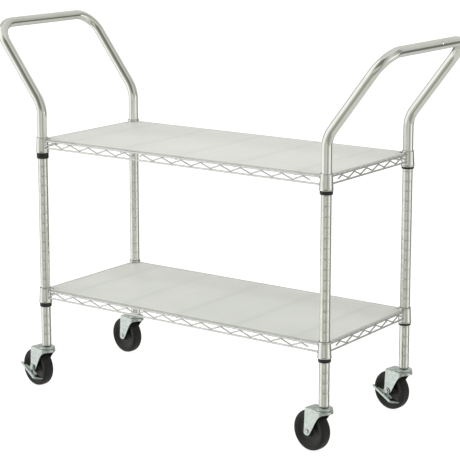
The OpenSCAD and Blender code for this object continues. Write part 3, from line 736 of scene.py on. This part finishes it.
def brake(corner):
    """A tread plate along one leg with its outer edge folded down, and an ear round the axle."""
    base = local(corner)

    def place(x, y, z):
        return base(x * math.cos(BRAKE_TILT) - z * math.sin(BRAKE_TILT), y,
                    x * math.sin(BRAKE_TILT) + z * math.cos(BRAKE_TILT))

    inner_y = FORK_OUT + PLATE_GAP
    web_y = inner_y + WEB_OUT
    edge = [(PLATE_TAIL, web_y + 0.0015, 0), (PLATE_WIDE, web_y + 0.015, 0),
            (PLATE_WIDE - 0.004, web_y + 0.014, 0), (PLATE_TOE, inner_y - 0.001, 0)]
    edge = dense(fillet(edge, [0, 0.004, 0.004, 0], math.radians(12)), 0.006)
    verts = []
    for i, p in enumerate(edge):
        run = edge[min(len(edge) - 1, i + 1)] - edge[max(0, i - 1)]
        out = Vector((run.y, -run.x, 0)).normalized()
        toe = min(0.0, p.x - PLATE_WIDE) / (PLATE_WIDE - PLATE_TOE)
        inner = Vector((max(p.x, PLATE_WIDE) + toe * 0.016, inner_y + toe * 0.0024, 0))
        rim = p - out * FOLD
        column = [(inner, PLATE_Z), (inner.lerp(rim, 0.5), PLATE_Z), (rim, PLATE_Z)]
        for k in (1, 2, 3):
            a = math.pi / 2 * k / 3
            column.append((rim + out * FOLD * math.sin(a), PLATE_Z - FOLD * (1 - math.cos(a))))
        lip = LIP_DROP * min(1.0, max(0.0, (p.x - PLATE_TOE) / LIP_RUN))
        column += [(p, PLATE_Z - FOLD - lip * share) for share in (0.5, 1)]
        verts += [place(q.x, q.y, z) for q, z in column]
    shape = Shape()
    shape.add(verts, grid(len(edge), len(column)))

    ear = [math.radians(-15 + 210 * k / 18) for k in range(19)]
    web = [(0.028, PLATE_Z - 0.0008), (0.026, PLATE_Z + 0.0022)]
    web += [(EAR_R * math.cos(a), EAR_R * math.sin(a)) for a in ear]
    web += [(-0.022, PLATE_Z + 0.0022), (-0.024, PLATE_Z - 0.0008)]
    shape.add([place(x, web_y, z) for x, z in web], [tuple(range(len(web)))])
    shape.piece(corner + "_pedal", corner + "_brake", ZINC, [corner + "_brake_lever"],
                sharp=35, merge=1e-5)


for corner in CORNERS:
    fork(corner)
    stem(corner)
    wheel(corner)
for corner in BRAKED:
    brake(corner)

# ---------------------------------------------------------------- floor, light and camera

FLOOR_HALF = 40
FLOOR_CORNERS = [(x * FLOOR_HALF, y * FLOOR_HALF, 0) for x, y in ((-1, -1), (1, -1), (1, 1), (-1, 1))]

# a floor that glows softly, so that it stays an even white
floor_look = Surface("floor")
floor_look.set(Base_Color=(0.25, 0.25, 0.25), Roughness=1.0, Specular_IOR_Level=0.0,
               Emission_Color=(1, 1, 1), Emission_Strength=0.90)
floor_mesh = bpy.data.meshes.new("floor")
floor_mesh.from_pydata(FLOOR_CORNERS, [], [(0, 1, 2, 3)])
floor_mesh.materials.append(floor_look.mat)
floor = bpy.data.objects.new("floor", floor_mesh)
floor.visible_glossy = False
bpy.context.scene.collection.objects.link(floor)

CAMERA_AT = Vector((2.4948, -3.4497, 1.4102))
CAMERA_YAW, CAMERA_PITCH = 0.6207, 0.1903
SENSOR, LENS, SHIFT = 36, 131.486, -0.1087

WHITE = (1.08, 1.08, 1.05)
TOP = (0.72, 0.72, 0.71)
FLOOR_GREY = (0.66, 0.66, 0.62)


def grey(value):
    """A grey that leans to olive as it darkens."""
    return (value, value * 1.005, value * (0.86 + 0.14 * value))


EDGE = grey(0.17)
# degrees round from the camera, to the right positive, in three rings from the floor up
DEEP_BANDS = [(-180, grey(0.45)), (-136, grey(0.55)), (-122, WHITE), (-74, WHITE), (-58, grey(0.44)),
              (-20, grey(0.34)), (20, grey(0.34)), (50, grey(0.60)), (90, grey(0.62)), (136, grey(0.62)),
              (180, grey(0.45))]
LOW_BANDS = [(-180, EDGE), (-140, EDGE), (-124, WHITE), (-74, WHITE), (-60, grey(0.60)), (-44, grey(0.55)),
             (-22, grey(0.64)), (2, grey(0.66)), (12, grey(0.36)), (22, grey(0.36)), (34, grey(0.60)),
             (50, grey(0.68)), (58, WHITE), (86, WHITE), (98, EDGE), (116, EDGE), (130, grey(0.44)),
             (162, grey(0.44)), (172, EDGE), (180, EDGE)]
HIGH_BANDS = [(-180, grey(0.66)), (-136, grey(0.50)), (-120, WHITE), (-70, WHITE), (-54, grey(0.46)),
              (-30, grey(0.22)), (0, grey(0.18)), (18, grey(0.44)), (46, grey(0.66)), (70, grey(0.50)),
              (92, grey(0.30)), (108, grey(0.55)), (136, grey(0.66)), (180, grey(0.66))]

# a studio of broad soft bands: the plating takes its light and dark stripes from them
world = bpy.data.worlds.new("studio")
bpy.context.scene.world = world
world.use_nodes = True
studio = Graph(world.node_tree)
turn = studio.node("ShaderNodeVectorRotate",
                   Vector=studio.node("ShaderNodeTexCoord").outputs["Generated"],
                   Angle=-math.atan2(CAMERA_AT.y, CAMERA_AT.x))
turn.rotation_type = "Z_AXIS"
split = studio.node("ShaderNodeSeparateXYZ", Vector=turn.outputs["Vector"])
azimuth = studio.math("DIVIDE", studio.math("ARCTAN2", split.outputs[1], split.outputs[0]), 2 * math.pi)
azimuth = studio.math("ADD", azimuth, 0.5)
height = studio.math("MULTIPLY", studio.math("ADD", split.outputs[2], 1.0), 0.5)


def ring(bands):
    """The colours of one ring, all the way round."""
    return studio.ramp(azimuth, [((deg + 180) / 360, colour) for deg, colour in bands], "EASE")


# each layer takes over from the one below between two heights: 0 straight down, 0.5 level, 1 straight up
sky = FLOOR_GREY
for start, end, above in ((0.09, 0.15, ring(DEEP_BANDS)), (0.29, 0.35, ring(LOW_BANDS)),
                          (0.48, 0.56, ring(HIGH_BANDS)), (0.86, 0.94, TOP)):
    sky = studio.mix(studio.step(height, start, end, 0, 1, "EASE"), sky, above)
background = world.node_tree.nodes["Background"]
studio.feed(background.inputs["Color"], sky)
studio.feed(background.inputs["Strength"], 1.0)

SUN_ANGLE, SUN_HEIGHT, SUN_ENERGY = math.radians(80), math.radians(19), 0.84


def soft_sun(name, round_deg):
    """A very soft lamp that lights the matt surfaces evenly and makes no highlight of its own."""
    sun = bpy.data.lights.new(name, "SUN")
    sun.energy = SUN_ENERGY
    sun.angle = SUN_ANGLE
    obj = bpy.data.objects.new(name, sun)
    obj.rotation_euler = (math.pi / 2 - SUN_HEIGHT, 0, math.radians(round_deg + 90))
    obj.visible_glossy = False
    bpy.context.scene.collection.objects.link(obj)


for name, round_deg in (("soft_front", -90), ("soft_right", 0), ("soft_back", 90), ("soft_left", 180)):
    soft_sun(name, round_deg)

camera_data = bpy.data.cameras.new("camera")
camera_data.sensor_width = SENSOR
camera_data.lens = LENS
camera_data.shift_y = SHIFT
camera = bpy.data.objects.new("camera", camera_data)
camera.location = CAMERA_AT
camera.rotation_euler = (math.pi / 2 - CAMERA_PITCH, 0, CAMERA_YAW)
bpy.context.scene.collection.objects.link(camera)
bpy.context.scene.camera = camera
bpy.context.scene.view_settings.view_transform = "Standard"
